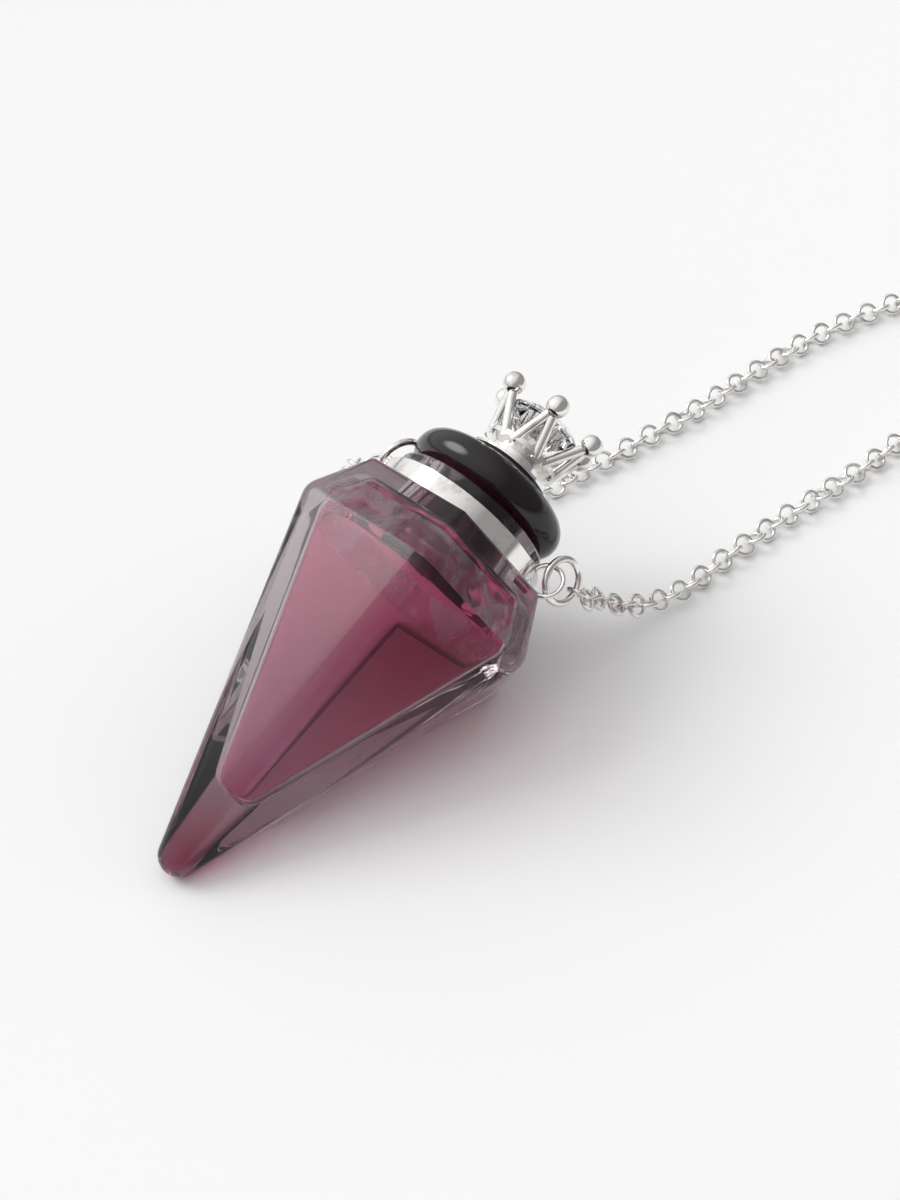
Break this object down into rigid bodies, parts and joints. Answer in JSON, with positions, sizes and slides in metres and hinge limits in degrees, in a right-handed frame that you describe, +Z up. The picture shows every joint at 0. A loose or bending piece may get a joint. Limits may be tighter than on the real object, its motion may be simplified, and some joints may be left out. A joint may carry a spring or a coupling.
{
  "type": "bottle pendant on a chain necklace",
  "caption": "Six-sided amethyst glass bottle pendant with a silver collar, a dark disc stopper topped by a crown with a clear stone, on a fine cable chain, lying on its side.",
  "frame": {"origin": "middle of the bottle's resting facet, on the surface that it lies on", "axes": "+Z up from that facet, +X from the bottle's tip towards its stopper, along the surface"},
  "size_m": [0.1926, 0.1176, 0.0231],
  "materials": {
    "amethyst_glass": "tinted clear glass with a clear outer wall",
    "silver": "polished silver",
    "stopper_post": "dark amethyst glass",
    "dark_glass": "near-black amethyst glass, polished",
    "clear_stone": "clear faceted stone"
  },
  "bodies": {
    "bottle": {"glass_bottle": "amethyst_glass", "neck_collar": "silver", "jump_ring_right": "silver", "jump_ring_left": "silver", "chain_right": "silver", "chain_left": "silver", "chain_clasp": "silver"},
    "stopper": {"stopper_plug": "stopper_post", "stopper_disc": "dark_glass", "crown": "silver", "crown_stone": "clear_stone"}
  },
  "joints": [
    {"name": "stopper_draw", "type": "slide", "parent": "bottle", "child": "stopper", "axis": [0.9491, 0, 0.3148], "range_m": [0, 0.008]}
  ]
}
